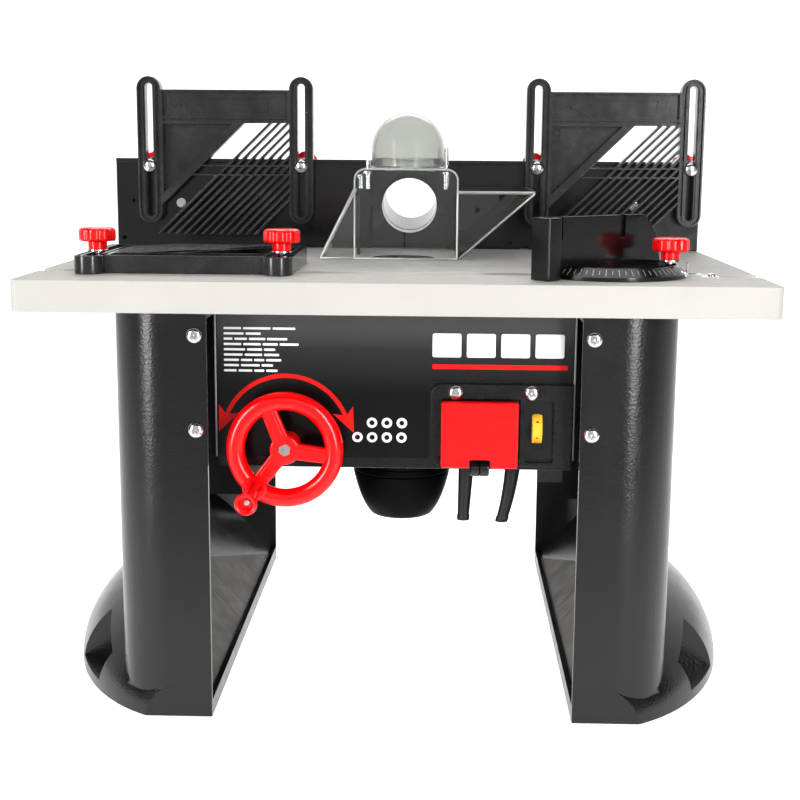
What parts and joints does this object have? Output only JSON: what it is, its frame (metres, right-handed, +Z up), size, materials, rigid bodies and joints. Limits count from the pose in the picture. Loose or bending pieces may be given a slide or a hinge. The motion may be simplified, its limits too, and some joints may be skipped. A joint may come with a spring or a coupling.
{
  "type": "router table",
  "caption": "Bench table on two moulded legs with a screw-lifted router motor, split fence with dust port, clear guard, featherboards, mitre gauge and front handwheel.",
  "frame": {"origin": "on the floor under the middle of the whole object's bounding box", "axes": "+X to the right seen from the front, +Y to the back, +Z up"},
  "size_m": [0.5997, 0.5252, 0.5265],
  "materials": {
    "table": "fine matt grain",
    "leg_plastic": "fine satin grain",
    "zinc": "bright zinc plate",
    "steel": "turned steel",
    "casting": "cast",
    "red_plastic": "glossy",
    "green_plastic": "glossy",
    "yellow_plastic": "glossy",
    "clear_plastic": "clear",
    "frosted_plastic": "frosted",
    "rubber": "matt",
    "panel": "satin black paint",
    "black_plastic": "glossy"
  },
  "bodies": {
    "base": {"table_top": "table", "insert_ring": "black_plastic", "left_leg": "leg_plastic", "right_leg": "leg_plastic", "left_leg_upper_screw": "zinc", "left_leg_lower_screw": "zinc", "right_leg_upper_screw": "zinc", "right_leg_lower_screw": "zinc", "front_panel": "panel", "mount_plate": "casting", "switch_frame": "black_plastic", "switch_screw_left": "zinc", "switch_screw_right": "zinc", "control_box": "black_plastic", "cord_boot_left": "rubber", "cord_boot_right": "rubber"},
    "lift": {"carriage": "casting", "motor_housing": "black_plastic", "motor_cap": "black_plastic"},
    "spindle": {"spindle": "steel", "collet_nut": "steel"},
    "handwheel": {"handwheel": "red_plastic", "wheel_shaft": "steel"},
    "crank": {"crank_handle": "red_plastic"},
    "lift_screw": {"lift_screw": "steel"},
    "switch_cover": {"switch_cover": "red_plastic"},
    "cover_latch": {"cover_latch": "black_plastic"},
    "start_button": {"start_button": "green_plastic"},
    "stop_button": {"stop_button": "red_plastic"},
    "speed_dial": {"speed_dial": "yellow_plastic"},
    "fence": {"fence_face_left": "black_plastic", "fence_face_right": "black_plastic", "fence_base": "black_plastic", "dust_port": "black_plastic", "board_bolt_1": "zinc", "board_bolt_2": "zinc", "board_bolt_3": "zinc", "board_bolt_4": "zinc"},
    "fence_knob_left": {"fence_knob_left": "red_plastic"},
    "fence_knob_right": {"fence_knob_right": "red_plastic"},
    "guard": {"guard_hood": "clear_plastic", "guard_dome": "frosted_plastic", "guard_post_left": "zinc", "guard_post_right": "zinc"},
    "left_featherboard": {"left_featherboard": "black_plastic"},
    "right_featherboard": {"right_featherboard": "black_plastic"},
    "board_knob_1": {"board_knob_1": "red_plastic"},
    "board_knob_2": {"board_knob_2": "red_plastic"},
    "board_knob_3": {"board_knob_3": "red_plastic"},
    "board_knob_4": {"board_knob_4": "red_plastic"},
    "flat_clamp": {"slot_nut_left": "zinc", "slot_nut_right": "zinc"},
    "flat_featherboard": {"flat_featherboard": "black_plastic"},
    "flat_knob_left": {"flat_knob_left": "red_plastic"},
    "flat_knob_right": {"flat_knob_right": "red_plastic"},
    "mitre_gauge": {"mitre_bar": "zinc", "mitre_pointer": "zinc"},
    "mitre_head": {"mitre_head": "black_plastic"},
    "mitre_knob": {"mitre_knob": "red_plastic"}
  },
  "joints": [
    {"name": "lift_travel", "type": "slide", "parent": "base", "child": "lift", "axis": [0, 0, 1], "range_m": [0, 0.04]},
    {"name": "spindle_spin", "type": "hinge", "parent": "lift", "child": "spindle", "pos_m": [0, 0.052, 0.3], "axis": [0, 0, 1], "continuous": true},
    {"name": "handwheel_turn", "type": "hinge", "parent": "base", "child": "handwheel", "pos_m": [-0.0855, -0.205, 0.2226], "axis": [0, 1, 0], "range_deg": [0, 3600]},
    {"name": "crank_spin", "type": "hinge", "parent": "handwheel", "child": "crank", "pos_m": [-0.1092, -0.23, 0.19226], "axis": [0, 1, 0], "continuous": true},
    {"name": "lift_screw_turn", "type": "hinge", "parent": "base", "child": "lift_screw", "pos_m": [-0.0855, 0.052, 0.25], "axis": [0, 0, 1], "range_deg": [0, 3600]},
    {"name": "cover_hinge", "type": "hinge", "parent": "base", "child": "switch_cover", "pos_m": [0.068, -0.1875, 0.2603], "axis": [-1, 0, 0], "range_deg": [0, 55]},
    {"name": "latch_turn", "type": "hinge", "parent": "switch_cover", "child": "cover_latch", "pos_m": [0.0685, -0.1915, 0.2062], "axis": [1, 0, 0], "range_deg": [0, 30]},
    {"name": "start_button_press", "type": "slide", "parent": "base", "child": "start_button", "axis": [0, 1, 0], "range_m": [0, 0.0025], "stiffness_N_per_m": 400},
    {"name": "stop_button_press", "type": "slide", "parent": "base", "child": "stop_button", "axis": [0, 1, 0], "range_m": [0, 0.0025], "stiffness_N_per_m": 400},
    {"name": "speed_dial_turn", "type": "hinge", "parent": "base", "child": "speed_dial", "pos_m": [0.114, -0.177, 0.2375], "axis": [1, 0, 0], "range_deg": [-150, 150]},
    {"name": "fence_slide", "type": "slide", "parent": "base", "child": "fence", "axis": [0, 1, 0], "range_m": [-0.036, 0.014]},
    {"name": "fence_knob_left_turn", "type": "hinge", "parent": "fence", "child": "fence_knob_left", "pos_m": [-0.17, 0.208, 0.37], "axis": [0, 0, 1], "continuous": true},
    {"name": "fence_knob_right_turn", "type": "hinge", "parent": "fence", "child": "fence_knob_right", "pos_m": [0.17, 0.208, 0.37], "axis": [0, 0, 1], "continuous": true},
    {"name": "guard_lift", "type": "slide", "parent": "fence", "child": "guard", "axis": [0, 0, 1], "range_m": [0, 0.04]},
    {"name": "left_featherboard_slide", "type": "slide", "parent": "fence", "child": "left_featherboard", "axis": [0, 0, 1], "range_m": [-0.0135, 0.045]},
    {"name": "right_featherboard_slide", "type": "slide", "parent": "fence", "child": "right_featherboard", "axis": [0, 0, 1], "range_m": [-0.0135, 0.045]},
    {"name": "board_knob_1_turn", "type": "hinge", "parent": "fence", "child": "board_knob_1", "pos_m": [-0.2606, 0.19, 0.438], "axis": [0, 1, 0], "continuous": true},
    {"name": "board_knob_2_turn", "type": "hinge", "parent": "fence", "child": "board_knob_2", "pos_m": [-0.1066, 0.19, 0.438], "axis": [0, 1, 0], "continuous": true},
    {"name": "board_knob_3_turn", "type": "hinge", "parent": "fence", "child": "board_knob_3", "pos_m": [0.132, 0.19, 0.438], "axis": [0, 1, 0], "continuous": true},
    {"name": "board_knob_4_turn", "type": "hinge", "parent": "fence", "child": "board_knob_4", "pos_m": [0.286, 0.19, 0.438], "axis": [0, 1, 0], "continuous": true},
    {"name": "flat_clamp_slide", "type": "slide", "parent": "base", "child": "flat_clamp", "axis": [1, 0, 0], "range_m": [-0.035, 0.02]},
    {"name": "flat_featherboard_slide", "type": "slide", "parent": "flat_clamp", "child": "flat_featherboard", "axis": [0, 1, 0], "range_m": [-0.09, 0.03]},
    {"name": "flat_knob_left_turn", "type": "hinge", "parent": "flat_clamp", "child": "flat_knob_left", "pos_m": [-0.2504, -0.118, 0.38], "axis": [0, 0, 1], "continuous": true},
    {"name": "flat_knob_right_turn", "type": "hinge", "parent": "flat_clamp", "child": "flat_knob_right", "pos_m": [-0.0964, -0.118, 0.38], "axis": [0, 0, 1], "continuous": true},
    {"name": "mitre_gauge_slide", "type": "slide", "parent": "base", "child": "mitre_gauge", "axis": [1, 0, 0], "range_m": [-0.05, 0.03]},
    {"name": "mitre_head_turn", "type": "hinge", "parent": "mitre_gauge", "child": "mitre_head", "pos_m": [0.175, -0.118, 0.36], "axis": [0, 0, 1], "range_deg": [-8, 106]},
    {"name": "mitre_knob_turn", "type": "hinge", "parent": "mitre_gauge", "child": "mitre_knob", "pos_m": [0.225, -0.118, 0.38], "axis": [0, 0, 1], "continuous": true}
  ],
  "couplings": [
    {"joint": "handwheel_turn", "follows": "lift_travel", "rad_per_m": 1570.7},
    {"joint": "lift_screw_turn", "follows": "lift_travel", "rad_per_m": 1570.7}
  ]
}
